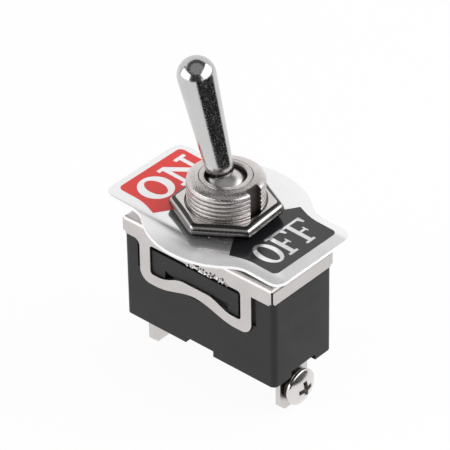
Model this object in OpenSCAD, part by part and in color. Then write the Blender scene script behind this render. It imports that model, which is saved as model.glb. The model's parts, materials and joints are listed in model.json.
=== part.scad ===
// Panel toggle switch: a bat lever on a ball in a threaded bushing, over a moulded
// housing that is held in a folded metal cover with a stirrup on each long side.
// Millimetres. X runs along the housing (+X is the OFF end), -Y is the front face,
// Z is the bushing's axis. The origin lies on that axis, on the front nut's top face.
// Heights inside the modules are counted from the cover's top face, the deck.

/* [Cover] */
// Length of the cover
cover_l = 29.7; // [27:0.1:33]
// Width of the cover
cover_w = 13.9; // [12.6:0.1:16]
// Thickness of the folded sheet
cover_t = 0.65; // [0.5:0.05:0.8]
// Height of the skirts below the deck
skirt_h = 3.0; // [2.4:0.05:4]
// Outer radius of the folds
fold_r = 0.85; // [0.75:0.05:1]
// Width of the mitred slit at each corner
corner_slit = 0.28; // [0.1:0.02:0.5]
// Radius of the skirts' lower corners
skirt_corner_r = 0.55; // [0.3:0.05:1]

/* [Stirrups] */
// Span over the two legs of a stirrup
stirrup_l = 22.1; // [20:0.1:25]
// Distance of a stirrup's middle from the bushing's axis
stirrup_shift = -0.35; // [-0.5:0.05:0.5]
// Width of a leg
leg_w = 2.05; // [1.6:0.05:3]
// Depth of the bar's lower edge below the deck, at the legs
stirrup_drop = 10.25; // [9:0.05:12]
// Height of the bar beside the legs
bar_end_h = 1.9; // [1.4:0.1:2.6]
// Height of the bar at its middle
bar_mid_h = 1.75; // [1:0.05:2.2]
// Rise of the bar's lower edge at its middle
bar_rise = 1.65; // [0.8:0.05:2.4]
// Radius of the stirrup's outer corners
stirrup_r = 2.0; // [1:0.1:2.2]
// Radius of the window's corners
window_r = 0.6; // [0.3:0.05:1]
// Radius where a skirt runs into the ON-side leg
leg_fillet_r = 1.1; // [0.6:0.1:1.5]

/* [Housing] */
// Length of the housing
body_l = 29.8; // [27:0.1:32]
// Width of the housing
body_w = 13.2; // [12:0.1:15]
// Depth of the housing's underside below the deck
body_depth = 18.3; // [17:0.1:21]
// Radius of the upright edges
body_edge_r = 0.95; // [0.4:0.05:1.2]
// Thickness of the end walls above the ledge
end_wall = 1.05; // [0.8:0.05:1.6]
// Thickness of the side walls above the ledge
side_wall = 1.3; // [1:0.05:1.8]
// Thickness of the floor
floor_t = 2.5; // [2.2:0.1:3]
// Width of the groove across the underside
foot_groove_w = 5.5; // [4:0.1:7]
// Width of the grooves over the terminals
end_groove_w = 5.5; // [4:0.1:6]
// Depth of the grooves in the underside
foot_groove_d = 1.0; // [0.6:0.05:1.2]
// Gap between the stirrup and its channel
channel_gap = 0.12; // [0.05:0.01:0.2]
// Extra width of the channel outside each leg
leg_slot_w = 0.7; // [0.3:0.05:1]
// Height of the slot outside each leg, below the skirt
leg_slot_h = 5.35; // [3:0.05:6]
// Half length of the boss's raised middle
boss_notch = 6.3; // [5:0.1:7]

/* [Bushing] */
// Outer diameter of the thread
thread_d = 11.9; // [11.5:0.05:12.5]
// Height of the threaded shoulder above the deck
shoulder_h = 9.6; // [9:0.05:11]
// Height of the bushing above the deck
bushing_h = 10.38; // [9.9:0.02:12]
// Diameter of the flat ring round the mouth
face_d = 8.0; // [7.2:0.1:9]
// Radius of the shoulder's edge
shoulder_r = 0.6; // [0.3:0.05:0.8]
// Diameter of the mouth
mouth_d = 6.3; // [6.2:0.02:6.6]
// Width of the keyway
key_w = 2.4; // [1.8:0.1:3]
// Depth of the keyway
key_d = 0.9; // [0.6:0.05:1]
// Diameter of the spigot through the cover
spigot_d = 10.4; // [10.1:0.05:10.6]
// Diameter of the rolled flange under the cover
flange_d = 11.2; // [11:0.05:11.4]
// Thickness of the rolled flange
flange_t = 0.75; // [0.5:0.05:1]

/* [Lever] */
// Height of the lever's pivot above the deck
pivot_h = 6.8; // [6.6:0.05:7]
// Lean of the lever at each end of its swing, in degrees
lean = 16; // [12:0.5:16]
// Length from the pivot to the middle of the round tip
bat_l = 19.5; // [17:0.1:24]
// Diameter of the round tip
tip_d = 5.9; // [4.6:0.05:6.4]
// Diameter of the bat where it leaves the ball
neck_d = 3.96; // [3.4:0.02:4]
// Diameter of the ball
ball_d = 8.0; // [7.6:0.05:8.2]
// Diameter of the tail below the ball
tail_d = 3.8; // [3.6:0.05:4]
// Length from the pivot to the tail's end
tail_l = 15.0; // [14:0.1:16]
// Diameter of the pivot pin
pin_d = 1.2; // [1:0.05:1.4]
// Running clearance at the pin, the ball and the plunger, on the radius
run_fit = 0.05; // [0.03:0.01:0.08]

/* [Nuts and washer] */
// Width across flats of both nuts
nut_af = 15.1; // [14:0.1:17]
// Turn of the front nut, in degrees
front_nut_turn = 34; // [0:1:59]
// Turn of the backing nut, in degrees
back_nut_turn = 20; // [0:1:59]
// Thickness of the front nut
front_nut_t = 1.8; // [1.4:0.1:2.5]
// Thickness of the backing nut
back_nut_t = 1.93; // [1.4:0.01:2.2]
// Width of the countersink round the nuts' threads
nut_sink = 0.4; // [0.2:0.05:0.6]
// Width of the chamfer at the nuts' corners
nut_chamfer_w = 0.9; // [0.3:0.05:1.1]
// Height of the chamfer at the nuts' corners
nut_chamfer_h = 0.8; // [0.3:0.05:1]
// Thickness of the lock washer
washer_t = 0.6; // [0.4:0.05:0.8]
// Outer diameter of the lock washer
washer_d = 16.0; // [15:0.25:18]
// Notches between the teeth of the lock washer
washer_teeth = 12; // [8:1:16]
// Width and depth of a notch
washer_notch = 1.0; // [0.6:0.1:1.2]
// Free space between the loose plate's high side and the front nut
plate_play = 0.36; // [0.1:0.02:0.4]
// Step in radius from the bare thread down to the stretch under the nuts
thread_step = 0.17; // [0.16:0.01:0.25]
// Clearance of nuts, washer and plate round their thread, on the radius
thread_fit = 0.05; // [0.03:0.01:0.15]

/* [Plate] */
// Length of the ON and OFF plate
plate_l = 34.5; // [31:0.1:37]
// Width of the plate's ends
plate_w = 17.1; // [14:0.1:20]
// Diameter of the plate's round middle
plate_d = 25.75; // [22:0.05:28]
// Thickness of the plate
plate_t = 0.55; // [0.4:0.05:0.6]
// Radius of the plate's corners
plate_corner_r = 1.9; // [1:0.1:3]
// Radius where the round middle runs into the ends
plate_fillet_r = 4.5; // [2:0.1:6]
// Tilt of the loose plate, ON end up, in degrees
plate_tilt = 2.1; // [2:0.05:2.5]

/* [Terminals] */
// Thickness of the terminal strips
strip_t = 0.9; // [0.7:0.05:1]
// Width of the terminal strips
strip_w = 6.3; // [5.6:0.1:7]
// Length of a tab below the housing
tab_drop = 7.45; // [6.8:0.05:9]
// Chamfer at a tab's corners
tab_chamfer = 1.05; // [0.5:0.05:2]
// Distance of the OFF tab's face inside the housing's end
off_tab_inset = 1.9; // [1.3:0.1:2]
// Distance of the ON tab's face inside the housing's end
on_tab_inset = 1.3; // [0.7:0.1:1.6]
// Clearance of a strip in its slot
strip_fit = 0.1; // [0.03:0.01:0.15]
// Depth of the screw holes below the housing
screw_drop = 3.75; // [3.4:0.05:4]
// Diameter of the screw thread
screw_d = 3.0; // [2.6:0.1:3]
// Length of the screw under its head
screw_l = 4.2; // [3:0.1:8]
// Diameter of the screw head
head_d = 5.6; // [5:0.1:6.4]
// Height of the head's upright side
head_side_h = 0.55; // [0.4:0.05:1.2]
// Height of the head's dome
dome_h = 1.0; // [0.8:0.05:1.5]
// Gap left under the screw head
head_gap = 1.0; // [0.3:0.05:1.2]
// Span of the cross recess
cross_l = 3.0; // [2.6:0.1:4]
// Width of the cross recess's arms
cross_w = 0.7; // [0.5:0.05:0.9]
// Depth of the cross recess
cross_h = 1.1; // [0.8:0.05:1.4]
// Turn of the cross recess, in degrees
cross_turn = 4; // [0:1:89]

/* [Contacts] */
// Height of the rocker's axis below the deck
rocker_drop = 12.4; // [12.2:0.05:12.5]
// Tilt of the rocker at each end of its swing, in degrees
rocker_lean = 10; // [8:0.5:10]
// Width of the rocker
rocker_w = 5.0; // [4:0.1:5.2]
// Thickness of the rocker
rocker_t = 0.6; // [0.4:0.05:0.6]
// Distance of a rocker's end from its axis
rocker_reach = 6.2; // [6:0.1:6.6]
// Diameter of the rocker's trunnions
trunnion_d = 0.9; // [0.7:0.05:1]
// Diameter of the plunger
plunger_d = 2.4; // [2.2:0.05:2.5]
// Length of the plunger from its nose's middle
plunger_l = 6.6; // [6:0.1:7.5]
// Gap between the plunger's nose and the rocker
nose_gap = 0.15; // [0.1:0.01:0.25]
// Distance of the contacts from the bushing's axis
contact_x = 4.85; // [4.6:0.05:5]
// Diameter of the contact buttons
contact_d = 2.2; // [1.8:0.1:2.6]
// Gap between the closed contacts
contact_gap = 0.05; // [0.02:0.01:0.1]
// Diameter of the fixed contact's shank
contact_shank_d = 1.6; // [1.2:0.1:2]
// Diameter of the rivet through the support
rivet_d = 1.8; // [1.4:0.1:2.2]
// Diameter of the rivet's head
rivet_head_d = 3.4; // [2.8:0.1:4]
// Height of the rivet's head
rivet_head_h = 0.5; // [0.3:0.05:0.7]
// Wire diameter of the plunger's spring
wire_d = 0.36; // [0.28:0.02:0.4]
// Turns of the plunger's spring
spring_turns = 6; // [4:1:8]

/* [Hidden] */
$fn = 64;

// A cut runs this far past the face that it opens.
over = 1;
sheet_t = 0.3;
wall_gap = 0.05;
// Gap between the bushing's flange and the pocket round it
recess_gap = 0.1;
cover_in_l = cover_l - 2 * cover_t;
cover_in_w = cover_w - 2 * cover_t;
fold_in_r = fold_r - cover_t;
rim_l = cover_in_l - 2 * wall_gap;
rim_w = cover_in_w - 2 * wall_gap;
ledge_z = -skirt_h - wall_gap;
body_top = -cover_t - sheet_t;
body_bottom = -body_depth;
floor_z = body_bottom + floor_t;
cavity_l = rim_l - 2 * end_wall;
cavity_w = rim_w - 2 * side_wall;

thread_r = thread_d / 2;
mouth_r = mouth_d / 2;
ball_r = ball_d / 2;
seat_r = ball_r + run_fit;
tip_r = tip_d / 2;
neck_r = neck_d / 2;
tail_r = tail_d / 2;
pin_r = pin_d / 2;
pin_grip = 0.6;
pin_reach = seat_r + pin_grip;
// Step from the ball up to the bat
neck_l = 0.4;
bat_z = ball_r + neck_l;
// Widening of the bushing's bore at its foot
flare = 0.6;
nut_corner_r = nut_af / sqrt(3);
seat_gap = 0.02;
// The slit stops this far below the fold's inside.
slit_bridge = 0.25;
back_nut_z = washer_t + seat_gap;
// The tilted plate leans on one corner of the backing nut.
plate_rise = nut_corner_r * tan(plate_tilt);
plate_low_z = back_nut_z + back_nut_t + plate_rise + 0.05;
front_nut_z = plate_low_z + plate_t + plate_rise + plate_play;
thread_foot = front_nut_z + front_nut_t;

// The nuts run on a slimmer stretch, as nuts do, whose own crests reach into the thread.
shank_r = thread_r - thread_step;
nut_hole_r = shank_r + thread_fit;
hole_r = thread_r + thread_fit;
recess_r = flange_d / 2 + recess_gap;
// Gaps of the loose plate at the thread and at its key
plate_gap = 0.05;
key_gap = 0.15;

off_tab_x = body_l / 2 - off_tab_inset;
on_tab_x = -(body_l / 2 - on_tab_inset);
tab_bottom = body_bottom - tab_drop;
screw_z = body_bottom - screw_drop;
strip_top = floor_z + strip_t;
channel_w = strip_w + 2 * strip_fit;
tap_r = screw_d / 2;
head_r = head_d / 2;

// The rocker's upper face follows the plunger's nose, seen from the rocker's own axis.
rocker_z = -rocker_drop;
pivot_rise = pivot_h + rocker_drop;
nose_r = plunger_d / 2;
nose_mid = 0.2;
nose_l = pivot_rise - nose_mid;
nose_x = nose_l * sin(lean);
nose_rise = pivot_rise - nose_l * cos(lean);
locus_x = nose_x * cos(rocker_lean) - nose_rise * sin(rocker_lean);
locus_z = nose_x * sin(rocker_lean) + nose_rise * cos(rocker_lean);
locus_r = (locus_x * locus_x + pow(locus_z - nose_mid, 2)) / (2 * (locus_z - nose_mid));
dish_z = nose_mid + locus_r;
dish_r = locus_r + nose_r + nose_gap;
dish_mid_x = dish_z * sin(rocker_lean);
dish_mid_z = rocker_z + dish_z * cos(rocker_lean);
trunnion_r = trunnion_d / 2;
hub_r = trunnion_r + 0.55;
rivet_r = rivet_d / 2;
contact_shank_r = contact_shank_d / 2;
base_t = 0.5;
base_top = strip_top + base_t;
ear_t = 0.6;
ear_in = rocker_w / 2 + 0.2;
ear_l = 3.2;
ear_rise = 1;
contact_r = contact_d / 2;
contact_head_r = contact_r + 0.3;
button_h = 0.7;
// How far the buttons reach below the strip's low side
button_step = 0.12;
pad_gap = 0.1;
strip_margin = 0.4;
// Depth of the rocker's lower face over a point x of the closed side.
function dish_under(x) = dish_mid_z - sqrt(pow(dish_r + rocker_t, 2) - pow(x - dish_mid_x, 2));
button_z = dish_under(contact_x - contact_r) - button_step;
pad_r = 0.8;
bore_r = nose_r + run_fit;
bore_top = 7.2;
plunger_top = nose_l - plunger_l;

// Where the bar's two edges begin to rise, and over which length, as shares of its span
low_bend = 0.352 * stirrup_l;
low_bend_l = 0.349 * stirrup_l;
high_bend = 0.33 * stirrup_l;
high_bend_l = 0.222 * stirrup_l;
window_top = -skirt_h - 0.1;
bar_steps = 50;

// A smooth step from 0 to 1 as s runs from 0 to 1.
function ease(s) = let (k = min(1, max(0, s))) k * k * (3 - 2 * k);
// Height of the bar's lower and upper edge over x.
function bar_low(x) = -stirrup_drop + bar_rise * ease((low_bend - abs(x)) / low_bend_l);
function bar_high(x) = -stirrup_drop + bar_end_h
    + (bar_rise + bar_mid_h - bar_end_h) * ease((high_bend - abs(x)) / high_bend_l);

// Shared shapes

module from_deck() translate([0, 0, -thread_foot]) children();

module rounded_rect(l, w, r) {
    square([l - 2 * r, w], center = true);
    square([l, w - 2 * r], center = true);
    for (x = [-1, 1], y = [-1, 1]) translate([x * (l / 2 - r), y * (w / 2 - r)]) circle(r);
}

module rounded_block(l, w, r, bottom, top) translate([0, 0, bottom])
    linear_extrude(top - bottom) rounded_rect(l, w, r);

// A block across the origin in X and Y, between two heights.
module slab(l, w, bottom, top) translate([-l / 2, -w / 2, bottom]) cube([l, w, top - bottom]);

// Stands an outline drawn in X and Z on the front face, t thick, and repeats it on the back.
module on_both_sides(face, t) for (side = [0, 1]) mirror([0, side, 0])
    translate([0, -face + t, 0]) rotate([90, 0, 0]) linear_extrude(t) children();

// The cross-section of a folded channel: a rectangle with round upper corners.
module loaf(w, h, r) {
    translate([-w / 2, -h]) square([w, h - r]);
    translate([-w / 2 + r, -h]) square([w - 2 * r, h]);
    for (x = [-1, 1]) translate([x * (w / 2 - r), -r]) circle(r);
}

module folded_block(l, w, h, r) intersection() {
    translate([0, l, 0]) rotate([90, 0, 0]) linear_extrude(2 * l) loaf(l, h, r);
    translate([-l, 0, 0]) rotate([90, 0, 90]) linear_extrude(2 * l) loaf(w, h, r);
}

// Cover

// The shape above one edge of the bar, over the stirrup's span and a margin.
module over_bar(reach, lift, top) polygon(concat(
    [for (i = [0:bar_steps]) let (x = reach * (2 * i / bar_steps - 1)) [x, lift[i]]],
    [[reach, top], [-reach, top]]));

module stirrup_outer(grow) intersection() {
    reach = stirrup_l / 2 + over;
    over_bar(reach, [for (i = [0:bar_steps]) bar_low(reach * (2 * i / bar_steps - 1)) - grow],
             -skirt_h + over);
    translate([0, -grow]) rounded_rect(stirrup_l + 2 * grow, 2 * stirrup_drop, stirrup_r + grow);
}

module stirrup_window(shrink) intersection() {
    window_l = stirrup_l - 2 * leg_w - 2 * shrink;
    reach = stirrup_l / 2;
    over_bar(reach, [for (i = [0:bar_steps]) bar_high(reach * (2 * i / bar_steps - 1)) + shrink],
             window_top - shrink);
    window_h = stirrup_drop - bar_end_h + window_top - 2 * shrink;
    translate([0, window_top - shrink - window_h / 2])
        rounded_rect(window_l, window_h, window_r);
}

module leg_fillet() translate([-stirrup_l / 2, -skirt_h]) difference() {
    translate([-leg_fillet_r, -leg_fillet_r]) square(leg_fillet_r + 0.1);
    translate([-leg_fillet_r, -leg_fillet_r]) circle(leg_fillet_r);
}

module skirt_corner_cuts() {
    cut = skirt_corner_r;
    for (x = [-1, 1], y = [-1, 1]) scale([x, y, 1]) {
        translate([cover_l / 2 - cut, cover_w / 2 - cover_t, -skirt_h]) rotate([-90, 0, 0])
            translate([0, 0, -0.01]) linear_extrude(cover_t + over) corner_web(cut);
        translate([cover_l / 2 + over, cover_w / 2 - cut, -skirt_h]) rotate([0, -90, 0])
            rotate([0, 0, 90]) linear_extrude(cover_t + over + 0.01)
            corner_web(cut);
    }
}

// The waste outside a round corner that ends at x = r and y = 0.
module corner_web(r) difference() {
    translate([0, -r]) square([r + over, r + over]);
    translate([0, -r]) circle(r);
    translate([-over, -r - over]) square([r + over, over]);
}

module cover_frame() color("silver") from_deck() {
    difference() {
        folded_block(cover_l, cover_w, skirt_h, fold_r);
        translate([0, 0, -cover_t]) folded_block(cover_in_l, cover_in_w, skirt_h + over, fold_in_r);
        translate([0, 0, -cover_t - over]) cylinder(r = spigot_d / 2 + seat_gap, h = cover_t + 2 * over);
        for (x = [-1, 1], y = [-1, 1]) scale([x, y, 1])
            translate([cover_l / 2, cover_w / 2, -skirt_h - over]) rotate([0, 0, 45])
                translate([-2, -corner_slit / 2, 0])
                    cube([4, corner_slit, skirt_h + over - fold_in_r - slit_bridge]);
        skirt_corner_cuts();
    }
    on_both_sides(cover_w / 2, cover_t) translate([stirrup_shift, 0]) {
        difference() {
            intersection() {
                stirrup_outer(0);
                translate([-stirrup_l, -stirrup_l]) square([2 * stirrup_l, stirrup_l - skirt_h]);
            }
            stirrup_window(0);
        }
        leg_fillet();
    }
}

// Housing

module stirrup_boss() difference() {
    stirrup_window(channel_gap);
    translate([-boss_notch, -stirrup_drop]) square([2 * boss_notch, stirrup_drop + bar_high(0) + 0.1]);
}

module stirrup_channel() difference() {
    union() {
        stirrup_outer(channel_gap);
        slot_l = stirrup_l + 2 * leg_slot_w;
        translate([-slot_l / 2, -skirt_h - leg_slot_h]) square([slot_l, leg_slot_h + over]);
    }
    stirrup_boss();
}

module housing() color([0.16, 0.16, 0.17]) from_deck() difference() {
    union() {
        rounded_block(body_l, body_w, body_edge_r, body_bottom, ledge_z);
        rounded_block(rim_l, rim_w, body_edge_r, ledge_z - over, body_top);
    }
    slab(cavity_l, cavity_w, floor_z, over);
    translate([0, 0, -cover_t - flange_t - recess_gap]) cylinder(r = recess_r, h = over + flange_t);
    on_both_sides(body_w / 2 + over, (body_w - rim_w) / 2 + over)
        translate([stirrup_shift, 0]) stirrup_channel();
    slab(foot_groove_w, body_w + over, body_bottom - over, body_bottom + foot_groove_d);
    for (x = [-1, 1]) translate([x * body_l / 2, 0, 0])
        slab(2 * (off_tab_inset + strip_t), end_groove_w, body_bottom - over,
             body_bottom + foot_groove_d);
    for (x = [off_tab_x - strip_t, on_tab_x])
        translate([x - strip_fit, -channel_w / 2, body_bottom - over])
            cube([strip_t + 2 * strip_fit, channel_w, floor_t + 2 * over]);
    translate([on_tab_x - strip_fit, -channel_w / 2, floor_z])
        cube([off_tab_x - on_tab_x + 2 * strip_fit, channel_w, strip_t + strip_fit]);
    translate([0, 0, body_bottom - over])
        cylinder(r = rivet_r + strip_fit, h = floor_t + 2 * over);
}

module insulating_sheet() color([0.45, 0.3, 0.2]) from_deck() difference() {
    inset = 2 * (fold_in_r + wall_gap);
    rounded_block(cover_in_l - inset, cover_in_w - inset, body_edge_r, body_top, -cover_t);
    translate([0, 0, body_top - over]) cylinder(r = recess_r, h = sheet_t + 2 * over);
}

// Bushing, nuts and plate

module bushing_outline() {
    shoulder_top = shoulder_h + shoulder_r;
    square([shank_r, thread_foot]);
    square([thread_r - shoulder_r, shoulder_top]);
    translate([0, thread_foot]) square([thread_r, shoulder_h - thread_foot]);
    translate([thread_r - shoulder_r, shoulder_h]) circle(shoulder_r);
    polygon([[0, shoulder_h], [thread_r - shoulder_r, shoulder_h],
             [thread_r - shoulder_r, shoulder_top], [face_d / 2, bushing_h], [0, bushing_h]]);
    translate([0, -cover_t - flange_t]) square([spigot_d / 2, cover_t + flange_t + over]);
    translate([0, -cover_t - flange_t]) square([flange_d / 2, flange_t]);
}

module bushing() color([0.75, 0.7, 0.66]) from_deck() difference() {
    rotate_extrude() bushing_outline();
    translate([0, 0, pivot_h]) cylinder(r = mouth_r, h = 2 * bushing_h);
    translate([0, 0, bushing_h - 0.15]) cylinder(r1 = mouth_r, r2 = mouth_r + 0.3, h = 0.3);
    translate([0, 0, pivot_h]) sphere(seat_r);
    translate([0, 0, -over - flange_t - cover_t]) cylinder(r = seat_r, h = pivot_h + over + flange_t + cover_t);
    translate([0, 0, -cover_t - flange_t - 0.01])
        cylinder(r1 = seat_r + flare, r2 = seat_r, h = cover_t + flange_t + over);
    translate([thread_r - key_d, -key_w / 2, 0]) cube([key_d + over, key_w, bushing_h + over]);
    rotate([90, 0, 0]) linear_extrude(2 * pin_reach, center = true) pin_slot(pin_r + run_fit);
}

// A slot that is open below, round the pivot pin.
module pin_slot(r) {
    translate([0, pivot_h]) circle(r);
    translate([-r, -cover_t - flange_t - over]) square([2 * r, pivot_h + cover_t + flange_t + over]);
}

module pivot_pin() color("gray") from_deck() translate([0, 0, pivot_h]) rotate([90, 0, 0])
    cylinder(r = pin_r, h = 2 * (pin_reach - run_fit), center = true);

module hex_nut(z, t, turn) translate([0, 0, z]) difference() {
    intersection() {
        rotate([0, 0, turn]) cylinder(r = nut_corner_r, h = t, $fn = 6);
        union() {
            cylinder(r = nut_corner_r + over, h = t - nut_chamfer_h);
            translate([0, 0, t - nut_chamfer_h])
                cylinder(r1 = nut_corner_r, r2 = nut_corner_r - nut_chamfer_w, h = nut_chamfer_h);
        }
    }
    translate([0, 0, -over]) cylinder(r = nut_hole_r, h = t + 2 * over);
    translate([0, 0, t - nut_sink])
        cylinder(r1 = nut_hole_r, r2 = nut_hole_r + 2 * nut_sink, h = 2 * nut_sink);
}

module front_nut() color([0.78, 0.75, 0.72]) from_deck() hex_nut(front_nut_z, front_nut_t, front_nut_turn);

module backing_nut() color([0.78, 0.75, 0.72]) from_deck() hex_nut(back_nut_z, back_nut_t, back_nut_turn);

module lock_washer() color([0.6, 0.58, 0.56]) from_deck() difference() {
    cylinder(d = washer_d, h = washer_t);
    translate([0, 0, -over]) cylinder(r = hole_r, h = washer_t + 2 * over);
    for (i = [0:washer_teeth - 1]) rotate([0, 0, (i + 0.5) * 360 / washer_teeth])
        translate([hole_r - over, -washer_notch / 2, -over])
            cube([washer_notch + over, washer_notch, washer_t + 2 * over]);
}

module plate_outline() {
    middle_r = plate_d / 2;
    fillet_y = plate_w / 2 + plate_fillet_r;
    fillet_x = sqrt(pow(middle_r + plate_fillet_r, 2) - fillet_y * fillet_y);
    touch = middle_r / (middle_r + plate_fillet_r);
    rounded_rect(plate_l, plate_w, plate_corner_r);
    circle(middle_r);
    for (x = [-1, 1], y = [-1, 1]) scale([x, y]) difference() {
        polygon([[0, 0], [fillet_x, plate_w / 2], [fillet_x, fillet_y],
                 [fillet_x * touch, fillet_y * touch]]);
        translate([fillet_x, fillet_y]) circle(plate_fillet_r);
    }
}

// The plate's key rides in the bushing's keyway.
module on_off_plate() color([0.88, 0.88, 0.88]) from_deck()
    translate([0, 0, plate_low_z]) rotate([0, plate_tilt, 0]) linear_extrude(plate_t) difference() {
        plate_outline();
        difference() {
            circle(hole_r + plate_gap);
            translate([thread_r - key_d + key_gap, -key_w / 2 + key_gap])
                square([key_d, key_w - 2 * key_gap]);
        }
    }

// Lever

// Puts children whose Z axis runs up the lever in the lever's resting place.
module on_lever() from_deck() translate([0, 0, pivot_h]) rotate([0, -lean, 0]) children();

module lever() color([0.8, 0.8, 0.8]) on_lever() difference() {
    union() {
        sphere(ball_r);
        cylinder(r = neck_r, h = bat_z);
        translate([0, 0, bat_z]) cylinder(r1 = neck_r, r2 = tip_r, h = bat_l - bat_z);
        translate([0, 0, bat_l]) sphere(tip_r);
        translate([0, 0, -tail_l]) cylinder(r = tail_r, h = tail_l);
    }
    rotate([90, 0, 0]) cylinder(r = pin_r + run_fit, h = ball_d + 2 * over, center = true);
    translate([0, 0, -tail_l - over]) cylinder(r = bore_r, h = tail_l + over - bore_top);
}

module plunger() color([0.92, 0.92, 0.88]) on_lever() {
    translate([0, 0, -nose_l]) cylinder(r = nose_r, h = plunger_l);
    translate([0, 0, -nose_l]) sphere(nose_r);
}

// The wire is swept along its helix as one closed mesh.
module plunger_spring() color("gray") on_lever() {
    steps = 12;
    sides = 6;
    coil_r = bore_r - wire_d / 2 - 0.08;
    low = -plunger_top + wire_d / 2 + 0.03;
    high = -bore_top - wire_d / 2 - 0.03;
    rings = spring_turns * steps;
    points = [for (i = [0:rings], k = [0:sides - 1])
        let (turn = i * 360 / steps, round = k * 360 / sides,
             r = coil_r + wire_d / 2 * cos(round))
        [r * cos(turn), r * sin(turn), low + (high - low) * i / rings + wire_d / 2 * sin(round)]];
    sides_of_tube = [for (i = [0:rings - 1], k = [0:sides - 1])
        let (a = i * sides + k, b = i * sides + (k + 1) % sides) [a, a + sides, b + sides, b]];
    ends = [[for (k = [0:sides - 1]) k], [for (k = [sides - 1:-1:0]) rings * sides + k]];
    polyhedron(points, concat(sides_of_tube, ends));
}

// Terminals and contacts

// The outline of a tab in Y and Z: from the strip down to its chamfered foot.
module tab_outline() {
    half = strip_w / 2;
    polygon([[-half, strip_top], [half, strip_top], [half, tab_bottom + tab_chamfer],
             [half - tab_chamfer, tab_bottom], [tab_chamfer - half, tab_bottom],
             [-half, tab_bottom + tab_chamfer]]);
}

module tab(x) translate([x, 0, 0]) rotate([90, 0, 90]) linear_extrude(strip_t) difference() {
    tab_outline();
    translate([0, screw_z]) circle(tap_r);
}

module terminal_off() color([0.8, 0.77, 0.74]) from_deck() {
    tab(off_tab_x - strip_t);
    strip_end = contact_x - contact_r - strip_margin;
    difference() {
        translate([strip_end, -strip_w / 2, floor_z]) cube([off_tab_x - strip_end, strip_w, strip_t]);
        translate([contact_x, 0, floor_z - over])
            cylinder(r = contact_shank_r + strip_fit, h = 2 * over + strip_t);
    }
}

module terminal_on() color([0.8, 0.77, 0.74]) from_deck() {
    tab(on_tab_x);
    difference() {
        translate([on_tab_x, -strip_w / 2, floor_z]) cube([ear_l / 2 - on_tab_x, strip_w, strip_t]);
        translate([0, 0, floor_z - over])
            cylinder(r = rivet_r + strip_fit, h = 2 * over + strip_t);
    }
}

module fixed_contact() color([0.9, 0.9, 0.88]) from_deck() translate([contact_x, 0, 0]) {
    translate([0, 0, strip_top])
        cylinder(r = contact_head_r, h = button_z - contact_gap - strip_top);
    translate([0, 0, floor_z]) cylinder(r = contact_shank_r, h = strip_t);
}

module rocker_support() color([0.75, 0.6, 0.35]) from_deck() {
    difference() {
        slab(ear_l, 2 * (ear_in + ear_t), strip_top, base_top);
        translate([0, 0, strip_top - over]) cylinder(r = rivet_r + strip_fit, h = base_t + 2 * over);
    }
    on_both_sides(ear_in + ear_t, ear_t) difference() {
        translate([-ear_l / 2, strip_top]) square([ear_l, rocker_z + ear_rise - strip_top]);
        translate([0, rocker_z]) circle(trunnion_r + run_fit);
        slot = trunnion_d + 2 * run_fit;
        translate([-slot / 2, rocker_z]) square([slot, ear_rise + over]);
    }
}

module support_rivet() color([0.75, 0.6, 0.35]) from_deck() {
    groove_z = body_bottom + foot_groove_d;
    translate([0, 0, groove_z]) cylinder(r = rivet_r, h = base_top - groove_z);
    translate([0, 0, groove_z - rivet_head_h]) cylinder(d = rivet_head_d, h = rivet_head_h);
}

module rest_pad() color([0.3, 0.2, 0.15]) from_deck() translate([-contact_x, 0, strip_top])
    cylinder(r = pad_r, h = dish_under(contact_x - pad_r) - pad_gap - strip_top);

// The dished strip of the rocker, in the closed position.
module rocker_dish() translate([0, 0, rocker_z]) rotate([0, rocker_lean, 0])
    rotate([90, 0, 0]) linear_extrude(rocker_w, center = true) intersection() {
        translate([0, dish_z]) difference() {
            circle(dish_r + rocker_t, $fn = 360);
            circle(dish_r, $fn = 360);
        }
        translate([-rocker_reach, -dish_r]) square([2 * rocker_reach, dish_r + 2]);
    }

module rocker() color([0.78, 0.5, 0.3]) from_deck() {
    rocker_dish();
    translate([0, 0, rocker_z]) rotate([0, rocker_lean, 0]) {
        on_both_sides(rocker_w / 2, ear_t) {
            circle(hub_r);
            translate([-hub_r, dish_z - dish_r - rocker_t / 2])
                square([2 * hub_r, dish_r - dish_z + rocker_t / 2]);
        }
        for (y = [-1, 1]) scale([1, y, 1]) translate([0, rocker_w / 2, 0]) rotate([-90, 0, 0])
            cylinder(r = trunnion_r, h = ear_in + ear_t - rocker_w / 2);
    }
}

module rocker_contact() color([0.9, 0.9, 0.88]) from_deck() difference() {
    translate([contact_x, 0, button_z]) cylinder(r = contact_r, h = button_h);
    translate([0, 0, rocker_z]) rotate([0, rocker_lean, 0]) translate([0, 0, dish_z])
        rotate([90, 0, 0]) cylinder(r = dish_r + rocker_t, h = 2 * rocker_w, center = true, $fn = 360);
}

module terminal_screw() color([0.82, 0.8, 0.78]) from_deck()
    translate([off_tab_x + head_gap, 0, screw_z]) rotate([0, 90, 0]) {
        head_h = head_side_h + dome_h;
        dome_r = (head_r * head_r + dome_h * dome_h) / (2 * dome_h);
        difference() {
            intersection() {
                cylinder(r = head_r, h = head_h);
                translate([0, 0, head_h - dome_r]) sphere(dome_r);
            }
            intersection() {
                translate([0, 0, head_h - cross_h]) rotate([0, 0, cross_turn])
                    linear_extrude(cross_h + over) {
                        square([cross_l, cross_w], center = true);
                        square([cross_w, cross_l], center = true);
                    }
                translate([0, 0, head_h - cross_h])
                    cylinder(r1 = cross_w, r2 = cross_l / 2, h = cross_h + 0.05);
            }
        }
        translate([0, 0, -screw_l]) cylinder(r = tap_r - run_fit, h = screw_l);
    }

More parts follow.
